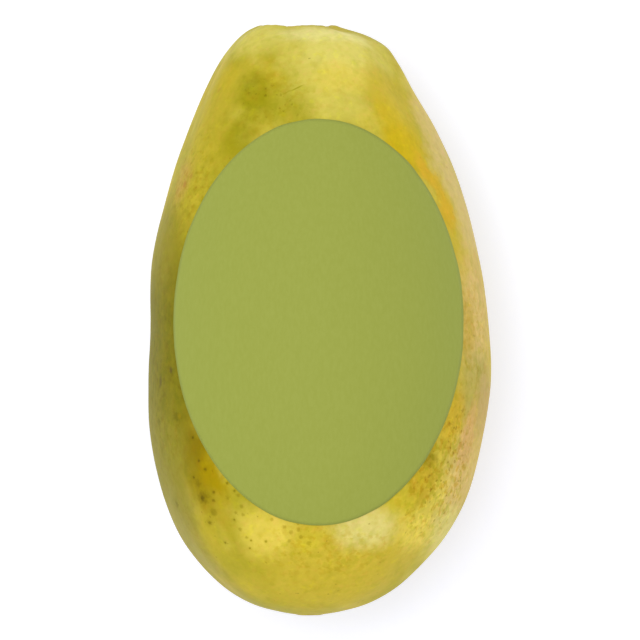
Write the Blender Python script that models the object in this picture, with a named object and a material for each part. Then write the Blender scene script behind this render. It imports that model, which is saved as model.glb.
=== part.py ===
"""A ripe papaya lying on its side, with a blank oval paper label stuck on top of it.

The fruit lies along Y, with its stem end at +Y and its blossom end at -Y. Z is up. The
origin is on the surface that the fruit lies on, under the middle of the fruit's box.
"""

import math

import bmesh
import bpy
from mathutils import Matrix, Vector

MM = 0.001

# The stem end's hollow, from the middle of the corky scar out to the rim: place along
# the fruit from its middle, half width, and how far the middle lies to the side, in mm.
STEM_HOLLOW = (
    (69.9, 0.0, -5.6),
    (69.8, 2.4, -5.6),
    (69.3, 3.5, -5.6),
    (68.9, 4.1, -5.6),
    (69.2, 5.2, -5.6),
    (70.8, 7.0, -5.6),
)

# The outline seen from above, from the stem end's rim to the blossom end, as above.
OUTLINE = (
    (72.0, 8.8, -5.6),
    (71.3, 11.3, -5.4),
    (69.5, 15.7, -3.8),
    (67.0, 19.1, -2.8),
    (63.0, 22.0, -2.8),
    (56.0, 25.7, -2.7),
    (46.0, 30.6, -1.8),
    (32.0, 35.9, -1.2),
    (14.0, 40.2, -1.0),
    (-3.5, 41.6, 0.0),
    (-15.0, 42.0, -0.1),
    (-29.0, 40.6, -0.8),
    (-43.0, 37.3, -1.1),
    (-53.5, 32.2, -1.7),
    (-60.5, 26.5, -2.2),
    (-66.0, 20.4, -2.4),
    (-69.8, 13.4, -2.5),
    (-71.5, 7.2, -2.5),
    (-72.1, 3.4, -2.5),
    (-72.3, 2.3, -2.5),
    (-72.0, 1.5, -2.5),
    (-71.7, 0.0, -2.5),
)
RINGS_PER_SPAN = 2
SEGMENTS = 72

DEPTH_TO_WIDTH = 0.97
AXIS_DROOP = 0.075  # the light stem end hangs lower: fall of the fruit's axis along its length
REST_CUT = 0.9 * MM  # how far the soft skin is pressed flat where the fruit lies

# The five ridges that run from end to end. An angle is counted from the top towards +X.
RIDGES = 5
FIRST_RIDGE = math.radians(-44)
RIDGE_FLATTENING = 0.2  # broad ridges with narrower furrows between them
RIDGE_MIDDLE = 0.012  # height of the ridges as a share of the half width
RIDGE_STEM_END = 0.055
RIDGE_BLOSSOM_END = 0.028
STEM_END_FROM = 20.0  # the ridges grow between these places along the fruit, in mm
STEM_END_TO = 70.0
BLOSSOM_END_FROM = -15.0
BLOSSOM_END_TO = -64.0
CROWN_HEIGHT = 0.4  # how far, in mm, the ridges stand up along the fruit at the stem end's rim
CROWN_FROM = 68.0
CROWN_TO = 71.5
CROWN_FULL_AT = 6.0  # half width, in mm, inside which the crown fades towards the scar
UNEVENNESS = 0.006  # a slow, three-sided unevenness of the section, as a share of the half width
UNEVEN_TURN = math.radians(70)
UNEVEN_TWIST = 60.0  # mm along the fruit in which the unevenness turns by one radian

# The label: an oval in plan, pressed onto the skin.
LABEL_MIDDLE = Vector((-0.3 * MM, -0.5 * MM, 0.0))
LABEL_HALF_WIDTH = 34.9 * MM
LABEL_HALF_LENGTH = 49.1 * MM
LABEL_GAP = 0.3 * MM
LABEL_THICKNESS = 0.3 * MM
LABEL_RINGS = 8
LABEL_SEGMENTS = 60
LABEL_START_HEIGHT = 120 * MM

SKIN_COLOUR = (0.56, 0.44, 0.06)
LABEL_COLOUR = (0.35, 0.40, 0.076)


def clear_scene():
    for obj in list(bpy.data.objects):
        bpy.data.objects.remove(obj)


def make_material(name, colour, roughness):
    material = bpy.data.materials.new(name)
    material.use_nodes = True
    shader = material.node_tree.nodes["Principled BSDF"]
    shader.inputs["Base Color"].default_value = (*colour, 1.0)
    shader.inputs["Roughness"].default_value = roughness
    shader.inputs["Metallic"].default_value = 0.0
    return material


def add_object(name, form, material):
    mesh = bpy.data.meshes.new(name)
    form.to_mesh(mesh)
    form.free()
    mesh.materials.append(material)
    mesh.shade_smooth()
    mesh.set_sharp_from_angle(angle=math.radians(50))
    obj = bpy.data.objects.new(name, mesh)
    bpy.context.scene.collection.objects.link(obj)
    return obj


def smooth_step(value, low, high):
    share = min(max((value - low) / (high - low), 0.0), 1.0)
    return share * share * (3 - 2 * share)


def smooth_path(points, steps):
    """A centripetal Catmull-Rom curve through the points, with some steps in each span."""
    knots = [Vector(point) for point in points]
    knots = [2 * knots[0] - knots[1], *knots, 2 * knots[-1] - knots[-2]]
    path = []
    for a, b, c, d in zip(knots, knots[1:], knots[2:], knots[3:]):
        tb = math.sqrt((b - a).length)
        tc = tb + math.sqrt((c - b).length)
        td = tc + math.sqrt((d - c).length)
        for step in range(steps):
            t = tb + (tc - tb) * step / steps
            ab = a.lerp(b, t / tb)
            bc = b.lerp(c, (t - tb) / (tc - tb))
            cd = c.lerp(d, (t - tc) / (td - tc))
            abc = ab.lerp(bc, t / tc)
            bcd = bc.lerp(cd, (t - tb) / (td - tb))
            path.append(abc.lerp(bcd, (t - tb) / (tc - tb)))
    path.append(knots[-2])
    return path


def ridge_wave(angle):
    """1 on the middle of a ridge and about -1 in a furrow."""
    turn = RIDGES * (angle - FIRST_RIDGE)
    return (math.cos(turn) - RIDGE_FLATTENING * math.cos(2 * turn)) / (1 + RIDGE_FLATTENING)


def ridge_height(along):
    at_stem = smooth_step(along, STEM_END_FROM, STEM_END_TO)
    at_blossom = smooth_step(along, BLOSSOM_END_FROM, BLOSSOM_END_TO)
    return (
        RIDGE_MIDDLE
        + (RIDGE_STEM_END - RIDGE_MIDDLE) * at_stem
        + (RIDGE_BLOSSOM_END - RIDGE_MIDDLE) * at_blossom
    )


def section(along, half_width, sideways):
    """One ring round the fruit, in mm, as wide as the outline there."""
    across, upward = [], []
    for i in range(SEGMENTS):
        angle = 2 * math.pi * i / SEGMENTS
        radius = 1 + ridge_height(along) * ridge_wave(angle)
        radius += UNEVENNESS * math.cos(3 * angle + UNEVEN_TURN + along / UNEVEN_TWIST)
        across.append(radius * math.sin(angle))
        upward.append(radius * math.cos(angle))
    middle_x = (max(across) + min(across)) / 2
    middle_z = (max(upward) + min(upward)) / 2
    scale_x = 2 * half_width / (max(across) - min(across))
    scale_z = 2 * half_width * DEPTH_TO_WIDTH / (max(upward) - min(upward))
    crown = CROWN_HEIGHT * smooth_step(along, CROWN_FROM, CROWN_TO)
    crown *= min(half_width / CROWN_FULL_AT, 1)
    ring = []
    for i, (x, z) in enumerate(zip(across, upward)):
        y = along + crown * ridge_wave(2 * math.pi * i / SEGMENTS)
        x = sideways + scale_x * (x - middle_x)
        ring.append(Vector((x, y, scale_z * (z - middle_z) - AXIS_DROOP * y)) * MM)
    return ring


def close_end(form, ring, tip):
    middle = form.verts.new(tip)
    for a, b in zip(ring, ring[1:] + ring[:1]):
        form.faces.new((a, b, middle))


def make_fruit(material):
    path = smooth_path(STEM_HOLLOW + OUTLINE, RINGS_PER_SPAN)
    form = bmesh.new()
    rings = []
    for along, half_width, sideways in path[1:-1]:
        ring = [form.verts.new(point) for point in section(along, half_width, sideways)]
        rings.append(ring)
    for ring, following in zip(rings, rings[1:]):
        for i in range(SEGMENTS):
            j = (i + 1) % SEGMENTS
            form.faces.new((ring[i], ring[j], following[j], following[i]))
    for ring, (along, _, sideways) in ((rings[0], path[0]), (rings[-1], path[-1])):
        close_end(form, ring, Vector((sideways, along, -AXIS_DROOP * along)) * MM)
    bmesh.ops.recalc_face_normals(form, faces=form.faces)
    stand_on_rest_spot(form)
    return add_object("papaya_fruit", form, material)


def stand_on_rest_spot(form):
    """Lowers the fruit by the depth of its rest spot, and cuts the spot flat at Z = 0."""
    low = Vector(min(v.co[k] for v in form.verts) for k in range(3))
    high = Vector(max(v.co[k] for v in form.verts) for k in range(3))
    middle = (low + high) / 2
    bmesh.ops.transform(
        form,
        matrix=Matrix.Translation((-middle.x, -middle.y, -low.z - REST_CUT)),
        verts=form.verts,
    )
    bmesh.ops.bisect_plane(
        form,
        geom=list(form.verts) + list(form.edges) + list(form.faces),
        plane_co=(0, 0, 0),
        plane_no=(0, 0, -1),
        clear_outer=True,
    )
    bmesh.ops.holes_fill(form, edges=[edge for edge in form.edges if edge.is_boundary])
    bmesh.ops.recalc_face_normals(form, faces=form.faces)


def make_label(fruit, material):
    """A flat oval sheet above the fruit, pressed down onto the skin and given its thickness."""
    form = bmesh.new()
    middle = form.verts.new(LABEL_MIDDLE + Vector((0, 0, LABEL_START_HEIGHT)))
    inner = None
    for ring in range(1, LABEL_RINGS + 1):
        share = ring / LABEL_RINGS
        outer = []
        for i in range(LABEL_SEGMENTS):
            angle = 2 * math.pi * i / LABEL_SEGMENTS
            x = LABEL_HALF_WIDTH * share * math.cos(angle)
            y = LABEL_HALF_LENGTH * share * math.sin(angle)
            outer.append(form.verts.new(middle.co + Vector((x, y, 0))))
        for i in range(LABEL_SEGMENTS):
            j = (i + 1) % LABEL_SEGMENTS
            if inner:
                form.faces.new((inner[i], outer[i], outer[j], inner[j]))
            else:
                form.faces.new((middle, outer[i], outer[j]))
        inner = outer
    label = add_object("oval_label", form, material)

    press = label.modifiers.new("Press onto skin", "SHRINKWRAP")
    press.target = fruit
    press.wrap_method = "PROJECT"
    press.wrap_mode = "ABOVE_SURFACE"
    press.use_project_z = True
    press.use_negative_direction = True
    press.use_positive_direction = False
    press.offset = LABEL_GAP

    paper = label.modifiers.new("Paper", "SOLIDIFY")
    paper.thickness = LABEL_THICKNESS
    paper.offset = 1
    return label


def main():
    clear_scene()
    fruit = make_fruit(make_material("Papaya skin", SKIN_COLOUR, 0.42))
    make_label(fruit, make_material("Label paper", LABEL_COLOUR, 0.6))


main()
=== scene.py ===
import math

import bpy
import numpy as np
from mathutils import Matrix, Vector, noise
from mathutils.bvhtree import BVHTree


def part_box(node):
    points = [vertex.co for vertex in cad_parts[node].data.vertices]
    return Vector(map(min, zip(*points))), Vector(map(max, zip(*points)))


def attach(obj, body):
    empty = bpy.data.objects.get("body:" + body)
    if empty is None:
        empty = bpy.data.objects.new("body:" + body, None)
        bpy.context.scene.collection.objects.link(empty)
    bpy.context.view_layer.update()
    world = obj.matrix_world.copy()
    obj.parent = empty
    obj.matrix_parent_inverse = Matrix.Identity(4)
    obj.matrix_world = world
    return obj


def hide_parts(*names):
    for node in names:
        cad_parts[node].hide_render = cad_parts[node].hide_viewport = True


# A ripe papaya on its side with a blank oval paper label, seen from straight above

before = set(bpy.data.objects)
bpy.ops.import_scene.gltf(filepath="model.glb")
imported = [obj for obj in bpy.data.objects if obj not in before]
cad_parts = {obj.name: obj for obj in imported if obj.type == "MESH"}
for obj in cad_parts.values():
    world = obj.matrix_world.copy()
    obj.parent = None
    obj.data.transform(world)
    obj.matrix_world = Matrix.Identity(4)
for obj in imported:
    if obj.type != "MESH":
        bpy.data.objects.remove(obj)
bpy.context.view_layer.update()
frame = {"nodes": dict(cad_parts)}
fruitLow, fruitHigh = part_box("papaya_fruit")
print("stage: frame loaded, with", ", ".join(frame["nodes"]))

mm = 0.001  # in metres
farOut = 200.0  # further out than any place on the fruit, in mm


def addObject(name, data):
    thing = bpy.data.objects.new(name, data)
    bpy.context.scene.collection.objects.link(thing)
    return thing


# Form of the fruit

papaya = {
    # from the middle of the corky scar out to the rim: place along, half width, sideways, in mm
    "stemHollow": (
        (69.9, 0.0, -5.6),
        (69.8, 2.4, -5.6),
        (69.3, 3.5, -5.6),
        (68.9, 4.1, -5.6),
        (69.2, 5.2, -5.6),
        (70.8, 7.0, -5.6),
    ),
    # the outline seen from above, from the stem end's rim to the blossom end
    "outline": (
        (72.0, 8.8, -5.6),
        (71.3, 11.3, -5.4),
        (69.5, 15.7, -3.8),
        (67.0, 19.1, -2.8),
        (63.0, 22.0, -2.8),
        (56.0, 25.7, -2.7),
        (46.0, 30.6, -1.8),
        (32.0, 35.9, -1.2),
        (14.0, 40.2, -1.0),
        (-3.5, 41.6, 0.0),
        (-15.0, 42.0, -0.1),
        (-29.0, 40.6, -0.8),
        (-43.0, 37.3, -1.1),
        (-53.5, 32.2, -1.7),
        (-60.5, 26.5, -2.2),
        (-66.0, 20.4, -2.4),
        (-69.8, 13.4, -2.5),
        (-71.5, 7.2, -2.5),
        (-72.1, 3.4, -2.5),
        (-72.3, 2.3, -2.5),
        (-72.0, 1.5, -2.5),
        (-71.7, 0.0, -2.5),
    ),
    "stepsPerSpan": 8,
    "segments": 288,
    "depthToWidth": 0.97,
    "axisDroop": 0.075,
    "axisAcross": -1.0,  # where the axis lies across, for places on the skin
    "pressedFlat": 0.9,  # depth of the rest spot
    "pressedEdge": 0.15,  # softness of the spot's edge
    "ridges": 5,
    "firstRidge": math.radians(-44),
    "ridgeFlattening": 0.2,
    "ridgeMiddle": 0.012,
    "ridgeStemEnd": 0.04,
    "ridgeBlossomEnd": 0.028,
    "stemEnd": (20.0, 70.0),
    "blossomEnd": (-15.0, -64.0),
    "crownHeight": 0.28,
    "crown": (68.0, 71.5),
    "crownFullAt": 6.0,
    "unevenness": 0.006,
    "unevenLobes": 3,
    "unevenTurn": math.radians(70),
    "unevenTwist": 60.0,
    "waves": ((19.0, 0.16), (7.0, 0.05)),  # size and height of the skin's slow waves
}


def smoothStep(value, low, high):
    share = np.clip((value - low) / (high - low), 0, 1)
    return share * share * (3 - 2 * share)


def smoothPath(points, steps):
    # a centripetal Catmull-Rom curve through the points
    knots = [Vector(point) for point in points]
    knots = [2 * knots[0] - knots[1], *knots, 2 * knots[-1] - knots[-2]]
    path = []
    for a, b, c, d in zip(knots, knots[1:], knots[2:], knots[3:]):
        tb = math.sqrt((b - a).length)
        tc = tb + math.sqrt((c - b).length)
        td = tc + math.sqrt((d - c).length)
        for step in range(steps):
            t = tb + (tc - tb) * step / steps
            ab = a.lerp(b, t / tb)
            bc = b.lerp(c, (t - tb) / (tc - tb))
            cd = c.lerp(d, (t - tc) / (td - tc))
            abc = ab.lerp(bc, t / tc)
            bcd = bc.lerp(cd, (t - tb) / (td - tb))
            path.append(abc.lerp(bcd, (t - tb) / (tc - tb)))
    path.append(knots[-2])
    return np.array(path)


def ridgeWave(angle):
    turn = papaya["ridges"] * (angle - papaya["firstRidge"])
    flattening = papaya["ridgeFlattening"]
    return (np.cos(turn) - flattening * np.cos(2 * turn)) / (1 + flattening)


def fruitPoints():
    # rings round the fruit in mm, as wide as the outline, before it is set on its rest spot
    path = smoothPath(papaya["stemHollow"] + papaya["outline"], papaya["stepsPerSpan"])
    along, halfWidth, sideways = (path[1:-1, k, None] for k in range(3))
    angle = np.arange(papaya["segments"])[None] * 2 * math.pi / papaya["segments"]
    wave = ridgeWave(angle)
    middle = papaya["ridgeMiddle"]
    ridge = middle + (papaya["ridgeStemEnd"] - middle) * smoothStep(along, *papaya["stemEnd"])
    ridge = ridge + (papaya["ridgeBlossomEnd"] - middle) * smoothStep(along, *papaya["blossomEnd"])
    radius = 1 + ridge * wave
    uneven = papaya["unevenLobes"] * angle + papaya["unevenTurn"] + along / papaya["unevenTwist"]
    radius = radius + papaya["unevenness"] * np.cos(uneven)
    x = radius * np.sin(angle)
    z = radius * np.cos(angle)
    lowX, highX = x.min(1, keepdims=True), x.max(1, keepdims=True)
    lowZ, highZ = z.min(1, keepdims=True), z.max(1, keepdims=True)
    x = sideways + 2 * halfWidth * (x - (lowX + highX) / 2) / (highX - lowX)
    z = 2 * halfWidth * papaya["depthToWidth"] * (z - (lowZ + highZ) / 2) / (highZ - lowZ)
    crown = papaya["crownHeight"] * smoothStep(along, *papaya["crown"])
    crown = crown * np.minimum(halfWidth / papaya["crownFullAt"], 1)
    y = along + crown * wave
    z = z - papaya["axisDroop"] * y
    rings = np.stack([x, y, z], axis=2)
    ends = np.array([[row[2], row[0], -papaya["axisDroop"] * row[0]] for row in (path[0], path[-1])])
    return rings, ends


def ringMesh(name, rings, startTip, endTip):
    # a closed mesh from rings of points, with a point at each end
    count, around = rings.shape[:2]
    points = np.concatenate([rings.reshape(-1, 3), startTip[None], endTip[None]])
    start, end = count * around, count * around + 1
    i = np.arange(around)
    j = (i + 1) % around
    faces = []
    for k in range(count - 1):
        a, b = k * around, (k + 1) * around
        faces += np.stack([b + i, b + j, a + j, a + i], axis=1).tolist()
    last = (count - 1) * around
    faces += np.stack([i, j, np.full(around, start)], axis=1).tolist()
    faces += np.stack([last + j, last + i, np.full(around, end)], axis=1).tolist()
    mesh = bpy.data.meshes.new(name)
    mesh.from_pydata((points * mm).tolist(), [], faces)
    mesh.shade_smooth()
    mesh.update()
    return mesh


def meshPoints(mesh, attribute="vertices", what="co"):
    values = np.empty(len(mesh.vertices) * 3, np.float32)
    getattr(mesh, attribute).foreach_get(what, values)
    return values.reshape(-1, 3).astype(float)


def skinRelief(points):
    # how far each point of the skin stands out, in mm
    height = np.zeros(len(points))
    for size, tall in papaya["waves"]:
        height += [tall * noise.noise(Vector(point) / size) for point in points]
    return height


# relief of the stem end: radii and heights in mm
stemForm = {
    "behind": 3.0,  # how far behind the scar's middle the relief ends
    "foldHeight": 0.10,  # small folds that run down into the hollow
    "folds": 15,
    "foldSway": 1.5,
    "swayLobes": 3,
    "swayTurn": 1.0,
    "foldBeats": 7,
    "beatTurn": 2.0,
    "foldInner": (3.8, 5.2),
    "foldOuter": (12.0, 7.5),
    "scarRadius": 3.7,
    "scarEdge": 0.6,
    "scarGrain": 0.16,
    "scarMiddle": (0.15, 0.8),
    "corkHeight": 0.7,  # this, the crack depth and the bundle height are shares of the grain
    "crackDepth": 2.4,
    "crackRays": 2.6,
    "crackLength": 2.0,
    "bundleHeight": 0.35,
    "bundles": 18,
    "bundleRadius": 2.6,
    "bundleWidth": (0.5, 0.1),
}


def stemRelief(points, scarMiddle):
    # folds down the wall of the hollow, and the cracked cork of the scar
    form = stemForm
    offset = points - scarMiddle
    radius = np.hypot(offset[:, 0], offset[:, 2])
    angle = np.arctan2(offset[:, 0], offset[:, 2])
    atStem = offset[:, 1] > -form["behind"]
    sway = form["foldSway"] * np.sin(form["swayLobes"] * angle + form["swayTurn"])
    wave = np.cos(form["folds"] * angle + sway)
    wave = wave * np.cos(form["foldBeats"] * angle + form["beatTurn"])
    wave = wave * smoothStep(radius, *form["foldInner"]) * smoothStep(radius, *form["foldOuter"])
    rays = form["crackRays"] * np.stack([np.cos(angle), np.sin(angle)], axis=1)
    depths = radius / form["crackLength"]
    cracks = np.array([abs(noise.noise(Vector((*ray, depth)))) for ray, depth in zip(rays, depths)])
    bundles = np.cos(form["bundles"] * angle)
    bundles = bundles * smoothStep(np.abs(radius - form["bundleRadius"]), *form["bundleWidth"])
    cork = form["corkHeight"] - form["crackDepth"] * cracks + form["bundleHeight"] * bundles
    cork = form["scarGrain"] * cork * smoothStep(radius, *form["scarMiddle"])
    disc = smoothStep(radius, form["scarRadius"], form["scarRadius"] - form["scarEdge"])
    return np.where(atStem, form["foldHeight"] * wave + disc * cork, 0)


def makeFruit():
    rings, ends = fruitPoints()
    rough = rings.reshape(-1, 3)
    shift = np.array([
        (fruitLow.x + fruitHigh.x) / 2 / mm - (rough[:, 0].min() + rough[:, 0].max()) / 2,
        (fruitLow.y + fruitHigh.y) / 2 / mm - (rough[:, 1].min() + rough[:, 1].max()) / 2,
        -rough[:, 2].min() - papaya["pressedFlat"],
    ])
    mesh = ringMesh("papaya", rings + shift, ends[0] + shift, ends[1] + shift)
    points = meshPoints(mesh) / mm
    normals = meshPoints(mesh, "vertex_normals", "vector")
    height = skinRelief(points) + stemRelief(points, ends[0] + shift)
    points += normals * height[:, None]
    edge = papaya["pressedEdge"]
    points[:, 2] = (points[:, 2] + np.sqrt(points[:, 2] ** 2 + edge ** 2)) / 2
    mesh.vertices.foreach_set("co", (points * mm).astype(np.float32).ravel())
    mesh.update()
    return addObject("papaya", mesh), ends[0] + shift, ends[1] + shift


class Skin:
    # finds places on the fruit's skin, in mm

    def __init__(self, fruit):
        corners = [tuple(point) for point in meshPoints(fruit.data) / mm]
        faces = [tuple(face.vertices) for face in fruit.data.polygons]
        self.tree = BVHTree.FromPolygons(corners, faces)

    def above(self, x, y):
        # the skin's place and outward direction over a place in plan
        place, normal, _, _ = self.tree.ray_cast(Vector((x, y, farOut)), Vector((0, 0, -1)))
        return place, normal

    def around(self, degrees, axis):
        # the skin's place at an angle round a point of the fruit's axis
        outward = Vector((math.sin(math.radians(degrees)), 0, math.cos(math.radians(degrees))))
        place, _, _, _ = self.tree.ray_cast(Vector(axis) + outward * farOut, -outward)
        return place


# Form of the label

label = {
    "middle": (-0.3, -0.5),
    "halfWidth": 35.2,
    "halfLength": 49.4,
    "rings": 48,
    "segments": 320,
    "glue": 0.06,  # paste under the paper
    "thickness": 0.14,
    "edgeLift": 0.18,  # how far the rim stands off where the flat paper can't follow the skin
    "edgeFrom": 0.90,
    "edgeLiftSize": 13.0,
    "edgeLiftMore": 0.1,  # added to the noise, so that more than half of the rim lifts
    "puckerHeight": 0.5,  # small waves that run in from the rim
    "puckerFrom": 0.80,
    "puckersAround": 5.2,
    "puckerPattern": 7.3,
    "puckerLeast": 0.05,
}


def makeLabel(surface):
    rings = []
    backs = []
    for k in range(1, label["rings"] + 1):
        share = k / label["rings"]
        ring, back = [], []
        for i in range(label["segments"]):
            angle = 2 * math.pi * i / label["segments"]
            x = label["middle"][0] + label["halfWidth"] * share * math.cos(angle)
            y = label["middle"][1] + label["halfLength"] * share * math.sin(angle)
            place, normal = surface.above(x, y)
            lift = noise.noise(place / label["edgeLiftSize"]) + label["edgeLiftMore"]
            lift = max(lift, 0) * label["edgeLift"] * float(smoothStep(share, label["edgeFrom"], 1))
            turn = Vector((math.cos(angle), math.sin(angle), 0)) * label["puckersAround"]
            pattern = Vector((0, 0, label["puckerPattern"]))
            pucker = max(noise.noise(turn + pattern) - label["puckerLeast"], 0)
            lift += pucker * label["puckerHeight"] * float(smoothStep(share, label["puckerFrom"], 1))
            under = place + normal * (label["glue"] + lift)
            back.append(under)
            ring.append(under + normal * label["thickness"])
        rings.append(ring)
        backs.append(back)
    place, normal = surface.above(*label["middle"])
    tips = [np.array(place + normal * (label["glue"] + extra)) for extra in (label["thickness"], 0)]
    whole = np.concatenate([np.array(rings), np.array(backs)[::-1]])
    return addObject("label", ringMesh("label", whole, *tips))


# Shader maths

class Wire:
    # a socket of a node, so that sums on it are written as plain Python

    def __init__(self, tree, socket=None):
        self.tree = tree
        self.socket = socket

    def add(self, kind, settings=None, inputs=None, output=0):
        node = self.tree.nodes.new(kind)
        for name, value in (settings or {}).items():
            setattr(node, name, value)
        for name, value in (inputs or {}).items():
            if isinstance(value, Wire):
                self.tree.links.new(value.socket, node.inputs[name])
            else:
                node.inputs[name].default_value = value
        return Wire(self.tree, node.outputs[output])

    def isVector(self):
        return self.socket.type in ("VECTOR", "RGBA")

    def combine(self, operation, first, second):
        vector = any(isinstance(side, (tuple, Vector)) or isinstance(side, Wire) and side.isVector()
                     for side in (first, second))
        kind = "ShaderNodeVectorMath" if vector else "ShaderNodeMath"
        sides = {}
        for k, side in enumerate((first, second)):
            if vector and isinstance(side, (int, float)):
                side = (side, side, side)
            sides[k] = side
        return self.add(kind, {"operation": operation}, sides)

    def __add__(self, other):
        return self.combine("ADD", self, other)

    def __radd__(self, other):
        return self.combine("ADD", other, self)

    def __sub__(self, other):
        return self.combine("SUBTRACT", self, other)

    def __rsub__(self, other):
        return self.combine("SUBTRACT", other, self)

    def __mul__(self, other):
        return self.combine("MULTIPLY", self, other)

    def __rmul__(self, other):
        return self.combine("MULTIPLY", other, self)

    def __truediv__(self, other):
        return self.combine("DIVIDE", self, other)

    def __rtruediv__(self, other):
        return self.combine("DIVIDE", other, self)


def linear(colour):
    # an sRGB colour from 0 to 255 as the linear colour that a shader takes
    parts = []
    for part in colour:
        part = part / 255
        parts.append(part / 12.92 if part < 0.04045 else ((part + 0.055) / 1.055) ** 2.4)
    return (*parts, 1.0)


def newMaterial(name, roughness):
    material = bpy.data.materials.new(name)
    material.use_nodes = True
    shader = material.node_tree.nodes["Principled BSDF"]
    shader.inputs["Roughness"].default_value = roughness
    start = Wire(material.node_tree)
    place = start.add("ShaderNodeTexCoord", output="Object") * (1 / mm)
    return material, shader, place


def feed(wire, shader, name):
    wire.tree.links.new(wire.socket, shader.inputs[name])


def noiseAt(place, size, detail=2.0, roughness=0.5, stretch=(1.0, 1.0, 1.0), output="Fac"):
    # a soft noise from 0 to 1 whose lumps are about as large as size, in mm
    scaled = place * tuple(part / size for part in stretch)
    sockets = {"Vector": scaled, "Scale": 1.0, "Detail": detail, "Roughness": roughness}
    return place.add("ShaderNodeTexNoise", {"noise_dimensions": "3D"}, sockets, output)


def wander(place, size, detail, roughness, width):
    # a noise about 0, half its width each way
    return (noiseAt(place, size, detail, roughness) - 0.5) * width


def scatter(place, size, detail, width):
    # a random offset in all directions
    return (noiseAt(place, size, detail, output="Color") - (0.5, 0.5, 0.5)) * width


def fade(value, low, high):
    # a smooth step of value, from 0 at low to 1 at high
    settings = {"interpolation_type": "SMOOTHSTEP"}
    return value.add("ShaderNodeMapRange", settings, {"Value": value, "From Min": low, "From Max": high})


def mixColour(share, under, over, blend="MIX"):
    # the Mix node takes colours at its inputs 6 and 7 and gives one at its output 2
    settings = {"data_type": "RGBA", "blend_type": blend}
    return share.add("ShaderNodeMix", settings, {0: share, 6: under, 7: over}, 2)


def shade(colour, mask, factors):
    # the colour made darker, lighter, warmer or greener by factors where the mask is 1
    return mixColour(mask, colour, (*factors, 1.0), "MULTIPLY")


def maths(operation, first, second=0.0):
    return first.add("ShaderNodeMath", {"operation": operation}, {0: first, 1: second})


def split(vector):
    # the three parts of a place
    parts = vector.add("ShaderNodeSeparateXYZ", {}, {"Vector": vector})
    return [Wire(vector.tree, socket) for socket in parts.socket.node.outputs]


def lengthOf(vector):
    return vector.add("ShaderNodeVectorMath", {"operation": "LENGTH"}, {0: vector}, "Value")


def turned(place, middle, degrees):
    # the place as seen after a turn about an upright axis through middle
    sockets = {"Vector": place, "Center": tuple(middle), "Angle": -math.radians(degrees)}
    return place.add("ShaderNodeVectorRotate", {"rotation_type": "Z_AXIS"}, sockets)


def patch(place, middle, size, turn=0.0, core=0.3):
    # 1 in the middle of a soft patch and 0 from its edge outwards
    if turn:
        place = turned(place, middle, turn)
    return fade(lengthOf((place - tuple(middle)) / tuple(size)), 1.0, core)


dots = {
    "smallest": 0.6,  # in radii
    "spread": 0.8,  # how much larger the largest ones are
    "core": 0.35,
}


def specks(place, spacing, radius, share):
    # small round dots of uneven size, in a share of the cells of a pattern
    cells = place.add("ShaderNodeTexVoronoi", {"feature": "F1"}, {"Vector": place / spacing, "Scale": 1.0})
    tint = Wire(place.tree, cells.socket.node.outputs["Color"])
    size, chance, _ = split(tint)
    reach = (size * dots["spread"] + dots["smallest"]) * (radius / spacing)
    dot = fade(cells / reach, 1.0, dots["core"])
    return dot * maths("LESS_THAN", chance, share)


# Colours of the skin

tones = {
    "gold": (212, 188, 58),
    "deepGold": (172, 147, 0),
    "darkGold": (142, 122, 6),
    "butter": (236, 213, 86),
    "pale": (233, 220, 112),
    "cream": (232, 218, 126),
    "straw": (217, 203, 88),
    "lemon": (212, 193, 52),
    "leaf": (176, 166, 38),
    "mustard": (190, 172, 42),
    "green": (158, 149, 12),
    "sage": (216, 203, 90),
    "olive": (130, 122, 9),
    "greyOlive": (151, 141, 38),
    "khaki": (180, 168, 88),
    "tan": (222, 197, 122),
    "peach": (223, 193, 112),
    "blush": (192, 160, 62),
    "russet": (218, 178, 102),
    "orange": (224, 180, 38),
    "amber": (212, 176, 44),
    "honey": (216, 186, 24),
    "ochre": (196, 162, 44),
    "bronze": (160, 139, 6),
    "dusk": (158, 146, 34),
    "ivory": (246, 236, 150),
    "loden": (168, 155, 62),
    "fawn": (206, 172, 112),
    "ember": (176, 118, 44),
    "cork": (172, 146, 104),
    "darkCork": (112, 86, 54),
    "pith": (84, 62, 36),
}

# the ripe yellow under everything: sizes in mm, and the parts of the noises where the tones change
ground = {
    "slowSize": 24.0,
    "slowStretch": (1.0, 0.6, 1.0),
    "slowRange": (0.35, 0.65),
    "strawSize": 13.0,
    "strawRange": (0.5, 0.8),
    "furrowRange": (0.2, -1.0),
    "furrowGreen": 0.12,
}


def groundColour(place, aroundWave):
    # a ripe yellow that is greener in places and in the furrows
    slow = noiseAt(place, ground["slowSize"], stretch=ground["slowStretch"])
    colour = mixColour(fade(slow, *ground["slowRange"]), linear(tones["leaf"]), linear(tones["gold"]))
    straw = noiseAt(place, ground["strawSize"])
    colour = mixColour(fade(straw, *ground["strawRange"]), colour, linear(tones["straw"]))
    furrow = fade(aroundWave, *ground["furrowRange"]) * ground["furrowGreen"]
    return mixColour(furrow, colour, linear(tones["leaf"]))


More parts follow.
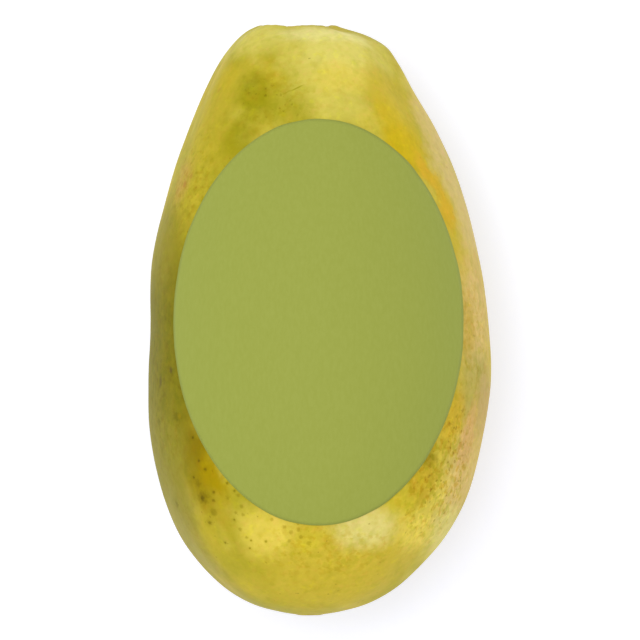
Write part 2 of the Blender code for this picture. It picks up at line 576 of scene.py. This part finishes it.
# patches of colour. name: where in plan, half sizes across, along and upright, turn in degrees,
# tone, strength
patches = {
    "rightSide": ((34.0, 4.0), (20.0, 75.0, 60.0), 0, "gold", 0.9),
    "lowEnd": ((6.0, -60.0), (34.0, 26.0, 34.0), 0, "gold", 0.9),
    "leftShoulder": ((-33.0, 27.0), (9.5, 18.0, 40.0), -12, "mustard", 0.9),
    # leftFlank, leftFlankEnd, leftRim and oliveByLabel: olive skin made darker by painted shade on the
    # left flank and its rim
    "leftFlank": ((-38.0, -5.0), (12.0, 48.0, 40.0), 0, "olive", 1.0),
    "leftFlankEnd": ((-37.5, -36.0), (8.0, 14.0, 34.0), 0, "greyOlive", 0.8),
    "leftRim": ((-38.5, 18.0), (5.0, 16.0, 34.0), -12, "dusk", 0.7),
    "oliveByLabel": ((-33.4, -21.5), (3.4, 8.0, 7.0), 8, "olive", 0.8),
    "leftBlush": ((-33.4, 34.4), (3.6, 7.5, 9.0), -15, "blush", 0.8),
    "leftNeck": ((-26.5, 43.0), (9.0, 10.0, 36.0), -20, "mustard", 0.85),
    "leftNeckGold": ((-24.5, 54.5), (6.5, 10.0, 36.0), -20, "mustard", 0.8),
    "leftNeckHoney": ((-22.4, 59.0), (3.4, 6.0, 9.0), -20, "honey", 0.2),
    # crown and neckMiddle: pale skin on the crown and neck, partly a painted highlight
    "crown": ((5.0, 66.0), (16.0, 12.0, 16.0), 0, "pale", 0.85),
    "neck": ((3.5, 54.0), (14.0, 10.0, 14.0), 0, "straw", 0.95),
    "neckMiddle": ((6.0, 59.3), (11.0, 6.0, 8.0), 0, "butter", 0.55),
    "leftCrown": ((-14.5, 69.2), (11.0, 6.8, 16.0), 15, "sage", 0.9),
    "rightCrown": ((14.5, 65.0), (7.0, 8.0, 12.0), 25, "straw", 0.7),
    "crownFurrow": ((-7.8, 65.5), (5.0, 7.5, 12.0), 0, "straw", 0.8),
    "crownEdge": ((-1.5, 70.4), (14.0, 5.0, 6.5), 0, "ivory", 0.55),
    "crownEdgeRight": ((8.5, 69.3), (6.0, 4.0, 8.0), -25, "ivory", 0.5),
    "leftByLabel": ((-19.4, 44.6), (6.0, 8.5, 8.0), -25, "green", 0.75),
    "greenNeck": ((-9.0, 52.0), (11.0, 8.0, 10.0), 10, "leaf", 0.75),
    "greenShoulder": ((-15.5, 55.6), (6.5, 9.0, 12.0), 0, "green", 0.85),
    "neckByLabel": ((12.5, 48.6), (6.0, 4.5, 7.0), -20, "butter", 0.5),
    "rightNeck": ((16.5, 53.5), (7.5, 14.0, 12.0), 15, "gold", 0.9),
    "rightNeckHoney": ((17.5, 49.0), (5.5, 9.0, 9.0), 20, "honey", 0.6),
    "rightShoulder": ((20.5, 42.0), (9.0, 9.0, 14.0), 30, "honey", 0.95),
    "rightNeckRim": ((27.0, 48.0), (4.6, 14.0, 18.0), 22, "tan", 0.75),
    "rightShoulderRim": ((30.4, 38.0), (4.8, 12.0, 16.0), 22, "tan", 0.85),
    "orangeStreak": ((26.2, 36.0), (2.6, 8.0, 10.0), 33, "orange", 0.85),
    "orangeStreakLow": ((30.4, 27.5), (2.4, 8.0, 10.0), 18, "orange", 0.85),
    "rightFlankHigh": ((36.0, 25.0), (5.0, 17.0, 24.0), 14, "tan", 0.85),
    # rightFlank: lighter peach skin on the right flank, partly painted light from the right
    "rightFlank": ((38.0, 2.0), (7.5, 22.0, 26.0), 0, "peach", 0.95),
    "rightByLabel": ((35.8, -1.5), (3.4, 14.0, 12.0), 0, "ochre", 0.5),
    "rightFlankLow": ((38.0, -15.0), (7.0, 12.0, 22.0), 0, "khaki", 0.6),
    "fawnRim": ((40.0, -22.0), (3.0, 14.0, 18.0), -5, "fawn", 0.65),
    "khakiLow": ((35.2, -21.0), (2.6, 5.0, 8.0), -5, "khaki", 0.5),
    "amberLow": ((32.5, -24.5), (3.6, 11.0, 10.0), -18, "amber", 0.75),
    "lowRight": ((35.0, -38.0), (9.0, 18.0, 20.0), -20, "peach", 0.9),
    "darkByLabel": ((26.8, -34.0), (3.2, 3.4, 6.0), -30, "darkGold", 0.6),
    "goldByLabel": ((25.5, -40.0), (7.0, 9.0, 10.0), -30, "amber", 0.6),
    "butterLowRim": ((28.6, -43.4), (4.6, 9.0, 10.0), -28, "butter", 0.55),
    "russetStreak": ((36.2, -28.0), (2.8, 13.0, 10.0), -10, "russet", 1.0),
    "yellowLow": ((19.0, -45.5), (9.0, 7.0, 10.0), -20, "lemon", 0.95),
    "creamRim": ((30.0, -51.5), (7.5, 10.0, 16.0), -30, "cream", 0.75),
    "butterLowRight": ((23.4, -51.8), (9.8, 8.4, 14.0), -30, "butter", 0.9),
    # creamLow and butterLow: pale skin low on the fruit, partly a painted highlight
    "creamLow": ((11.0, -50.5), (12.0, 8.5, 14.0), 0, "cream", 0.95),
    "butterLow": ((-12.8, -51.5), (11.0, 10.0, 14.0), 0, "butter", 0.9),
    "lemonLow": ((-3.0, -54.0), (5.5, 6.0, 8.0), 0, "lemon", 0.7),
    # lodenLow, darkGoldLow and bronzeLow: darker skin low on the left flank, partly painted shade
    "lodenLow": ((-34.0, -45.0), (5.0, 12.0, 16.0), 22, "loden", 0.9),
    "leafLow": ((-25.4, -48.4), (6.4, 9.0, 9.0), 20, "mustard", 0.75),
    "goldLow": ((-23.8, -46.5), (5.0, 5.5, 7.0), 20, "deepGold", 0.4),
    "darkGoldLow": ((-30.5, -33.5), (6.0, 14.0, 12.0), 12, "darkGold", 1.0),
    "bronzeLow": ((-29.8, -41.0), (4.6, 11.0, 10.0), 18, "bronze", 0.8),
    "deepGoldLow": ((-26.2, -37.6), (4.2, 9.0, 8.0), 25, "deepGold", 0.95),
}

# patches on the underside. name: degrees round from the top towards +X and place along,
# half sizes in mm, tone, strength
hiddenPatches = {
    "underLeft": ((-128.0, 8.0), (16.0, 36.0), "lemon", 0.8),
    "underMiddle": ((176.0, -12.0), (22.0, 34.0), "butter", 0.7),
    "underRight": ((132.0, 12.0), (15.0, 30.0), "gold", 0.9),
    "underGreen": ((158.0, 44.0), (13.0, 20.0), "leaf", 0.9),
    "underOlive": ((-150.0, 38.0), (12.0, 22.0), "sage", 0.8),
    "underOrange": ((118.0, -34.0), (12.0, 18.0), "amber", 0.7),
    "underBlush": ((-112.0, -46.0), (11.0, 14.0), "tan", 0.6),
}


def addPatches(colour, moved, surface, axisPlace):
    # moved is the place on the skin, shifted at random, so that the patches get ragged edges
    for middle, size, turn, tone, strength in patches.values():
        where, _ = surface.above(*middle)
        mask = patch(moved, where, size, turn)
        colour = mixColour(mask * strength, colour, linear(tones[tone]))
    for (degrees, along), size, tone, strength in hiddenPatches.values():
        axisX, axisZ = axisPlace(along)
        where = surface.around(degrees, (axisX, along, axisZ))
        mask = patch(moved, where, (size[0], size[1], size[0]))
        colour = mixColour(mask * strength, colour, linear(tones[tone]))
    return colour


# painted shade over the outer side of the left ridge, where the skin is also greener: angles in degrees
# from the top, places along the fruit in mm, and each wandering as the size, detail, roughness and width
# of a noise
ridgeShade = {
    "nearEdge": (-44.0, -58.0),
    "nearWander": (6.0, 3.0, 0.5, 12.0),
    "nearTurn": 5.0,  # how far the near edge moves round towards the blossom end
    "nearTurnAt": (-30.0, -52.0),
    "farEdge": (-136.0, -104.0),
    "farWander": (16.0, 3.0, 0.5, 40.0),
    "start": (34.0, -6.0),
    "stop": (-76.0, -56.0),
    "endShift": (0.0, 20.0, 0.0),
    "endWander": (11.0, 5.0, 0.65, 34.0),
    "firstTone": "dusk",
    "laterTones": {"olive": (28.0, 0.0), "greyOlive": (-10.0, -40.0), "loden": (-36.0, -58.0)},
    "strength": 0.85,
}


def addRidgeShade(colour, place, around, along):
    # painted shade over greener skin: greyer than the lit ripe side, with an edge that wanders
    near = around + wander(place, *ridgeShade["nearWander"])
    near = near + fade(along, *ridgeShade["nearTurnAt"]) * ridgeShade["nearTurn"]
    far = around + wander(place, *ridgeShade["farWander"])
    ends = along + wander(place + ridgeShade["endShift"], *ridgeShade["endWander"])
    band = fade(near, *ridgeShade["nearEdge"]) * fade(far, *ridgeShade["farEdge"])
    band = band * fade(ends, *ridgeShade["start"]) * fade(ends, *ridgeShade["stop"])
    tone = linear(tones[ridgeShade["firstTone"]])
    for name, span in ridgeShade["laterTones"].items():
        tone = mixColour(fade(ends, *span), tone, linear(tones[name]))
    return mixColour(band * ridgeShade["strength"], colour, tone)


# layers of mottle. name: shift, size, detail and roughness of the noise, its stretch,
# where the layer sets in and is full, factors of red, green and blue
mottle = {
    "clouds": ((0.0, 0.0, 0.0), (3.4, 4.0, 0.65), (1.0, 0.75, 1.0), (0.5, 0.7), (0.92, 0.94, 0.82)),
    "rosyBlooms": ((40.0, 0.0, 0.0), (2.2, 4.0, 0.65), (1.0, 1.0, 1.0), (0.5, 0.7), (1.05, 0.98, 1.12)),
    "lemonBlooms": ((40.0, 0.0, 0.0), (2.2, 4.0, 0.65), (1.0, 1.0, 1.0), (0.46, 0.3), (1.05, 1.08, 0.85)),
    "streaks": ((0.0, 0.0, 0.0), (2.6, 2.0, 0.5), (1.0, 0.12, 1.0), (0.52, 0.72), (0.94, 0.95, 0.92)),
}
# the same for the layers of the areas that ripen unevenly
ripening = {
    "ochre": ((0.0, 30.0, 0.0), (1.8, 2.0, 0.55), (1.0, 1.0, 1.0), (0.5, 0.66), (0.87, 0.77, 0.4)),
    "moss": ((0.0, 60.0, 0.0), (2.1, 2.0, 0.55), (1.0, 1.0, 1.0), (0.5, 0.64), (0.84, 0.89, 0.55)),
    "light": ((0.0, 90.0, 0.0), (1.7, 2.0, 0.55), (1.0, 1.0, 1.0), (0.44, 0.66), (1.15, 1.15, 1.22)),
}
ripeningArea = {
    "hiddenHeights": (38.0, 22.0),  # heights between which the mottle of the underside sets in
    "hiddenStrength": 0.6,
    "least": 0.2,
}
flecks = {
    "fray": (0.9, 3.0, 1.5),  # size, detail and width of a noise
    "share": 0.65,
    "factors": (0.62, 0.55, 0.3),
}

# areas that ripen unevenly. name: where in plan, half sizes, strength
blotches = {
    "lowRight": ((30.0, -38.0), (19.0, 28.0, 20.0), 1.0),
    "lowMiddle": ((4.0, -56.0), (26.0, 10.0, 14.0), 0.45),
    "greenShoulder": ((-12.0, 54.0), (16.0, 14.0, 12.0), 0.3),
    "leftShoulder": ((-32.0, 34.0), (10.0, 20.0, 20.0), 0.6),
    "rightFlank": ((37.0, -4.0), (8.0, 22.0, 20.0), 0.5),
    "leftFlank": ((-38.5, -12.0), (10.0, 34.0, 26.0), 0.6),
}

# areas with dense flecks. name: where in plan, half sizes, spacing and radius of the flecks, strength
denseFlecks = {
    "lowRight": ((30.0, -38.0), (16.0, 30.0, 18.0), 1.6, 0.52, 0.9),
    "greenShoulder": ((-12.0, 53.0), (13.0, 11.0, 10.0), 1.3, 0.36, 0.6),
    "lowMiddle": ((-4.0, -53.0), (9.0, 6.0, 8.0), 1.5, 0.32, 0.5),
}


def addMottle(colour, place, height, surface):
    # cloudy flecks everywhere, stronger where the skin ripens unevenly
    area = fade(height, *ripeningArea["hiddenHeights"]) * ripeningArea["hiddenStrength"]
    for middle, size, strength in blotches.values():
        where, _ = surface.above(*middle)
        area = maths("MAXIMUM", area, patch(place, where, size) * strength)
    area = area * (1 - ripeningArea["least"]) + ripeningArea["least"]
    for layers, share in ((mottle, 1.0), (ripening, area)):
        for shift, pattern, stretch, span, factors in layers.values():
            layer = noiseAt(place + shift, *pattern, stretch=stretch)
            colour = shade(colour, fade(layer, *span) * share, factors)
    ragged = place + scatter(place, *flecks["fray"])
    for middle, size, spacing, radius, strength in denseFlecks.values():
        where, _ = surface.above(*middle)
        mask = specks(ragged, spacing, radius, flecks["share"]) * patch(place, where, size) * strength
        colour = shade(colour, mask, flecks["factors"])
    return colour


# fine dots. name: cell size, radius in mm, share of the cells, strength, factors of red, green and blue
pores = {
    "dark": (4.2, 0.34, 0.35, 0.7, (0.55, 0.52, 0.4)),
    "lowEnd": (2.4, 0.3, 0.5, 0.75, (0.6, 0.56, 0.4)),
    "pale": (1.7, 0.22, 0.6, 0.5, (1.12, 1.12, 1.3)),
    "rusty": (2.3, 0.4, 0.5, 0.5, (0.72, 0.5, 0.35)),
}
poreLayout = {
    "fray": (0.7, 2.0, 0.8),  # size, detail and width of a noise
    "paleShift": (9.0, 0.0, 0.0),
    "lowEnd": (-38.0, -50.0),
    "rustyStart": (24.0, 34.0),
    "rustyStop": (46.0, 38.0),
}


def addSpecks(colour, place, along):
    # dark pores all over, more of them on the low end, pale ones between and rusty ones on the shoulders
    ragged = place + scatter(place, *poreLayout["fray"])
    lowEnd = fade(along, *poreLayout["lowEnd"])
    shoulders = fade(along, *poreLayout["rustyStart"]) * fade(along, *poreLayout["rustyStop"])
    fields = {
        "dark": (ragged, 1.0),
        "lowEnd": (ragged, lowEnd),
        "pale": (place + poreLayout["paleShift"], 1.0),
        "rusty": (ragged, shoulders),
    }
    for name, (where, band) in fields.items():
        spacing, radius, share, strength, factors = pores[name]
        colour = shade(colour, specks(where, spacing, radius, share) * band * strength, factors)
    return colour


# how the spots are painted: where they set in and are full, in radii, strength, factors of the colour
spotLook = {
    "halo": ((2.4, 0.8), 0.6, (0.86, 0.84, 0.7)),
    "dark": ((1.2, 0.2), 0.9, (0.56, 0.56, 0.22)),
    "faint": ((1.4, 0.4), 0.8, (0.7, 0.68, 0.45)),
}
spotForm = {
    "uprightStretch": 1.5,
    "fray": (0.7, 3.0, 0.5, 1.6),  # size, detail, roughness and width of a noise
    "markDepth": 2.0,
    "markCore": 0.2,
}

# spots, most of them on the ripe low side: where in plan and radius, in mm
darkSpots = (
    (-29.4, -34.3, 0.40),
    (-27.9, -36.4, 0.50),
    (-30.7, -38.4, 0.40),
    (-25.8, -41.9, 0.45),
    (-28.6, -43.4, 0.80),
    (-25.9, -44.0, 0.50),
    (-22.5, -39.7, 0.40),
    (-20.8, -41.6, 0.45),
    (-26.8, -49.4, 0.60),
    (-20.8, -48.6, 0.35),
    (-23.0, -54.3, 0.40),
    (-16.7, -53.7, 0.35),
    (-13.1, -53.9, 0.40),
    (-30.9, -28.7, 0.40),
    (-17.0, -55.6, 0.30),
)
faintSpots = (
    (-28.4, -43.2, 1.60),
    (-29.7, -39.9, 0.90),
    (-22.4, -43.3, 0.60),
    (-19.9, -42.7, 0.45),
    (-19.0, -45.3, 0.50),
    (-25.8, -46.8, 1.00),
    (-20.4, -46.9, 0.45),
    (-18.7, -47.4, 0.45),
    (-19.3, -51.1, 0.55),
    (-17.8, -53.0, 0.40),
    (-11.7, -48.5, 0.45),
    (-8.6, -50.4, 0.45),
    (-7.0, -51.6, 0.55),
    (-5.2, -51.0, 0.50),
    (-7.4, -53.7, 0.50),
    (-4.6, -52.8, 0.55),
    (-2.6, -54.4, 0.60),
    (-5.3, -49.5, 0.40),
    (-35.0, -23.6, 1.10),
    (-39.3, -24.8, 0.80),
    (-34.9, -45.0, 0.90),
)

# short brown marks: where in plan, half width and half length, turn in degrees, tone, strength
marks = (
    ((-36.3, -12.2), (0.6, 1.3), 10, "pith", 0.6),
    ((-38.9, -15.0), (0.7, 2.2), 0, "pith", 0.5),
    ((-34.2, -23.4), (0.8, 1.1), 0, "bronze", 0.5),
    ((-5.6, 56.6), (0.28, 2.6), -64, "green", 0.75),
    ((-8.0, 55.6), (0.25, 1.6), -60, "green", 0.5),
    ((-33.0, 33.2), (0.7, 1.4), -10, "ember", 0.6),
    ((-31.4, 35.2), (0.5, 1.2), -20, "ember", 0.4),
    ((-34.8, 31.6), (0.6, 1.6), -15, "ember", 0.3),
    ((-24.6, 56.2), (0.5, 1.2), -30, "ember", 0.3),
)


def nearSpots(place, spots, surface):
    # how far each place is from the nearest spot, in its radii, with a ragged edge
    nearest = None
    for x, y, radius in spots:
        where, _ = surface.above(x, y)
        reach = lengthOf((place - tuple(where)) / (radius, radius, radius * spotForm["uprightStretch"]))
        nearest = reach if nearest is None else maths("MINIMUM", nearest, reach)
    return nearest + wander(place, *spotForm["fray"])


def addSpots(colour, place, surface):
    dark = nearSpots(place, darkSpots, surface)
    faint = nearSpots(place, faintSpots, surface)
    for reach, look in ((dark, "halo"), (dark, "dark"), (faint, "faint")):
        span, strength, factors = spotLook[look]
        colour = shade(colour, fade(reach, *span) * strength, factors)
    for middle, (halfWidth, halfLength), turn, tone, strength in marks:
        where, _ = surface.above(*middle)
        size = (halfWidth, halfLength, spotForm["markDepth"])
        mask = patch(place, where, size, turn, spotForm["markCore"])
        colour = mixColour(mask * strength, colour, linear(tones[tone]))
    return colour


# colours of the stem scar: radii in mm, each from where it sets in to where it is full
scar = {
    "behind": (-4.0, -3.0),
    "flattening": (1.0, 0.35, 1.0),
    "wander": (1.6, 3.0, 0.5, 1.2),  # size, detail, roughness and width of a noise
    "stain": (13.0, 4.5),
    "stainStrength": 0.8,
    "stainFactors": (0.8, 0.84, 0.55),
    "folds": 15.0,
    "foldOuter": (9.0, 5.0),
    "foldInner": (3.9, 4.6),
    "foldRange": (0.1, 1.0),
    "foldStrength": 0.5,
    "foldFactors": (0.86, 0.84, 0.7),
    "rim": (5.2, 4.3),
    "rimStrength": 0.75,
    "edge": (4.2, 3.7),
    "rayFlattening": (1.0, 0.2, 1.0),
    "rayMiddle": 0.4,
    "rayNoise": (0.16, 2.0, 0.6),
    "rayRange": (0.4, 0.7),
    "rayStrength": 0.6,
    "cloudNoise": (1.5, 3.0),
    "cloudRange": (0.4, 0.65),
    "cloudFactors": (0.82, 0.8, 0.76),
    "bundles": 18.0,
    "bundleRadius": 2.7,
    "bundleWidth": (0.55, 0.15),
    "bundleRange": (0.0, 0.8),
    "bundleStrength": 0.7,
    "pith": (1.1, 0.4),
    "pithStrength": 0.6,
}


def addStemScar(colour, place, offset):
    # a corky disc with a ring of bundle marks, in a hollow that is stained green and brown
    across, along, upward = split(offset)
    atStem = fade(along, *scar["behind"])
    angle = maths("ARCTAN2", across, upward)
    radius = lengthOf(offset * scar["flattening"]) + wander(place, *scar["wander"])
    stain = fade(radius, *scar["stain"]) * atStem * scar["stainStrength"]
    colour = shade(colour, stain, scar["stainFactors"])
    fold = maths("COSINE", angle * scar["folds"])
    fold = fold * fade(radius, *scar["foldOuter"]) * fade(radius, *scar["foldInner"])
    fold = fade(fold, *scar["foldRange"]) * atStem * scar["foldStrength"]
    colour = shade(colour, fold, scar["foldFactors"])
    rim = fade(radius, *scar["rim"]) * atStem * scar["rimStrength"]
    colour = mixColour(rim, colour, linear(tones["darkCork"]))

    outwards = offset * scar["rayFlattening"] / (lengthOf(offset) + scar["rayMiddle"])
    rays = fade(noiseAt(outwards, *scar["rayNoise"]), *scar["rayRange"]) * scar["rayStrength"]
    cork = mixColour(rays, linear(tones["cork"]), linear(tones["darkCork"]))
    clouds = fade(noiseAt(place, *scar["cloudNoise"]), *scar["cloudRange"])
    cork = shade(cork, clouds, scar["cloudFactors"])
    ring = fade(maths("ABSOLUTE", radius - scar["bundleRadius"]), *scar["bundleWidth"])
    bundles = fade(maths("COSINE", angle * scar["bundles"]), *scar["bundleRange"]) * ring
    cork = mixColour(bundles * scar["bundleStrength"], cork, linear(tones["pith"]))
    pith = fade(radius, *scar["pith"]) * scar["pithStrength"]
    cork = mixColour(pith, cork, linear(tones["pith"]))
    return mixColour(fade(radius, *scar["edge"]) * atStem, colour, cork)


# the dry star at the blossom end: radii in mm, strengths, and how far its lobes reach out
star = {
    "lobes": 5.0,
    "wander": (1.0, 3.0, 0.5, 1.8),  # size, detail, roughness and width of a noise
    "stain": (12.0, 2.5),
    "stainStrength": 0.7,
    "stainFactors": (0.88, 0.9, 0.65),
    "haloLobes": 0.5,
    "halo": (3.9, 1.9),
    "haloStrength": 0.8,
    "haloFactors": (0.74, 0.6, 0.4),
    "corkLobes": 0.35,
    "cork": (2.1, 1.3),
    "corkStrength": 0.85,
    "pith": (1.0, 0.5),
    "pithStrength": 0.8,
}


def addTipScar(colour, place, offset):
    # the dry brown star where the flower sat
    across, _, upward = split(offset)
    lobes = maths("COSINE", maths("ARCTAN2", across, upward) * star["lobes"])
    radius = lengthOf(offset) + wander(place, *star["wander"])
    colour = shade(colour, fade(radius, *star["stain"]) * star["stainStrength"], star["stainFactors"])
    halo = fade(radius - lobes * star["haloLobes"], *star["halo"]) * star["haloStrength"]
    colour = shade(colour, halo, star["haloFactors"])
    cork = fade(radius - lobes * star["corkLobes"], *star["cork"]) * star["corkStrength"]
    colour = mixColour(cork, colour, linear(tones["darkCork"]))
    pith = fade(radius, *star["pith"]) * star["pithStrength"]
    return mixColour(pith, colour, linear(tones["pith"]))


skin = {
    "roughness": 0.5,
    "roughnessChange": (4.0, 3.0, 0.5, 0.16),  # size, detail, roughness and width of a noise
    "specular": 0.028,
    "coat": 0.01,
    "coatRoughness": 0.3,
    "drift": (8.0, 3.0, 4.5),  # size, detail and width of how the edges of the patches wander
    "fray": (2.6, 3.0, 2.2),  # the same for how ragged those edges are
    "poreNoise": (0.55, 3.0, 0.6),
    "poreHeight": 0.018,
    "dimpleNoise": (2.4, 2.0),
    "dimpleHeight": 0.035,
}


def paintSkin(fruit, surface, scarMiddle, tipMiddle):
    material, shader, place = newMaterial("papaya skin", skin["roughness"])

    def axisPlace(along):
        # where the fruit's axis is at a place along it
        return papaya["axisAcross"], scarMiddle[2] - papaya["axisDroop"] * (along - scarMiddle[1])

    across, along, height = split(place)
    axisX, axisZ = axisPlace(along)
    around = maths("ARCTAN2", across - axisX, height - axisZ)
    wave = maths("COSINE", (around - papaya["firstRidge"]) * papaya["ridges"])
    moved = place + scatter(place, *skin["drift"]) + scatter(place, *skin["fray"])

    colour = groundColour(place, wave)
    colour = addPatches(colour, moved, surface, axisPlace)
    colour = addRidgeShade(colour, place, around * math.degrees(1.0), along)
    colour = addMottle(colour, place, height, surface)
    colour = addSpecks(colour, place, along)
    colour = addSpots(colour, place, surface)
    colour = addStemScar(colour, place, place - tuple(scarMiddle))
    colour = addTipScar(colour, place, place - tuple(tipMiddle))
    feed(colour, shader, "Base Color")

    feed(wander(place, *skin["roughnessChange"]) + skin["roughness"], shader, "Roughness")
    shader.inputs["Specular IOR Level"].default_value = skin["specular"]
    shader.inputs["Coat Weight"].default_value = skin["coat"]
    shader.inputs["Coat Roughness"].default_value = skin["coatRoughness"]
    bumps = noiseAt(place, *skin["poreNoise"]) * skin["poreHeight"]
    bumps = bumps + noiseAt(place, *skin["dimpleNoise"]) * skin["dimpleHeight"]
    relief = bumps.add("ShaderNodeBump", {}, {"Height": bumps, "Distance": mm, "Strength": 1.0})
    feed(relief, shader, "Normal")
    fruit.data.materials.append(material)


# Paper of the label

paper = {
    "colour": (158, 167, 74),
    "thin": (162, 171, 79),
    "roughness": 0.7,
    "specular": 0.08,
    "fibreNoise": (0.8, 4.0, 0.7),
    "fibreStretch": (1.0, 0.35, 1.0),
    "fibreRange": (0.3, 0.75),
    "grainHeight": 0.01,
}


def paintLabel(sheet):
    material, shader, place = newMaterial("label paper", paper["roughness"])
    fibre = noiseAt(place, *paper["fibreNoise"], stretch=paper["fibreStretch"])
    colour = mixColour(fade(fibre, *paper["fibreRange"]), linear(paper["colour"]), linear(paper["thin"]))
    feed(colour, shader, "Base Color")
    shader.inputs["Specular IOR Level"].default_value = paper["specular"]
    grain = fibre * paper["grainHeight"]
    relief = grain.add("ShaderNodeBump", {}, {"Height": grain, "Distance": mm, "Strength": 1.0})
    feed(relief, shader, "Normal")
    sheet.data.materials.append(material)


# Floor, light and camera

studio = {
    "floorSize": 3.0,
    "floorColour": (0.82, 0.84, 0.89),
    "floorGlow": (0.35, 0.36, 0.45),
    "sky": 0.69,
    "keyPlace": (-0.27, 0.16, 1.5),
    "keySize": 0.7,
    "keyPower": 7.4,
}

view = {
    "lens": 1200.0,
    "sensor": 36.0,
    "mmPerPixel": 0.245,
    "pixels": 640,
    "middle": (0.07, 0.0),  # the place under the middle of the picture, in mm
    "widestHeight": 40.0,  # height at which the fruit is seen at its widest
    "farthest": 100.0,  # how far the camera sees, in metres
}


def makeStudio():
    half = studio["floorSize"] / 2
    mesh = bpy.data.meshes.new("floor")
    corners = [(-half, -half, 0), (half, -half, 0), (half, half, 0), (-half, half, 0)]
    mesh.from_pydata(corners, [], [(0, 1, 2, 3)])
    floor = addObject("floor", mesh)
    material = bpy.data.materials.new("floor")
    material.use_nodes = True
    shader = material.node_tree.nodes["Principled BSDF"]
    shader.inputs["Base Color"].default_value = (*studio["floorColour"], 1.0)
    shader.inputs["Roughness"].default_value = 1.0
    shader.inputs["Specular IOR Level"].default_value = 0.0
    shader.inputs["Emission Color"].default_value = (*studio["floorGlow"], 1.0)
    shader.inputs["Emission Strength"].default_value = 1.0
    mesh.materials.append(material)

    world = bpy.data.worlds.new("studio")
    world.use_nodes = True
    world.node_tree.nodes["Background"].inputs["Color"].default_value = (1.0, 1.0, 1.0, 1.0)
    world.node_tree.nodes["Background"].inputs["Strength"].default_value = studio["sky"]
    bpy.context.scene.world = world

    lamp = bpy.data.lights.new("key", "AREA")
    lamp.size = studio["keySize"]
    lamp.energy = studio["keyPower"]
    key = addObject("key", lamp)
    key.location = studio["keyPlace"]
    key.rotation_euler = (-Vector(studio["keyPlace"])).to_track_quat("-Z", "Y").to_euler()
    key.visible_camera = False
    bpy.context.scene.view_settings.view_transform = "Standard"


def makeCamera():
    data = bpy.data.cameras.new("camera")
    data.lens = view["lens"]
    data.sensor_width = view["sensor"]
    width = view["pixels"] * view["mmPerPixel"]
    distance = width * view["lens"] / view["sensor"]
    camera = addObject("camera", data)
    camera.location = Vector((*view["middle"], view["widestHeight"] + distance)) * mm
    data.clip_end = view["farthest"]
    bpy.context.scene.camera = camera


makeStudio()
makeCamera()
print("stage: floor, light and camera made")

fruit, scarMiddle, tipMiddle = makeFruit()
surface = Skin(fruit)
paintSkin(fruit, surface, scarMiddle, tipMiddle)
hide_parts("papaya_fruit")
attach(fruit, "root")
print("stage: fruit made, faces:", len(fruit.data.polygons))

sheet = makeLabel(surface)
paintLabel(sheet)
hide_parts("oval_label")
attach(sheet, "root")
print("stage: label made, faces:", len(sheet.data.polygons))
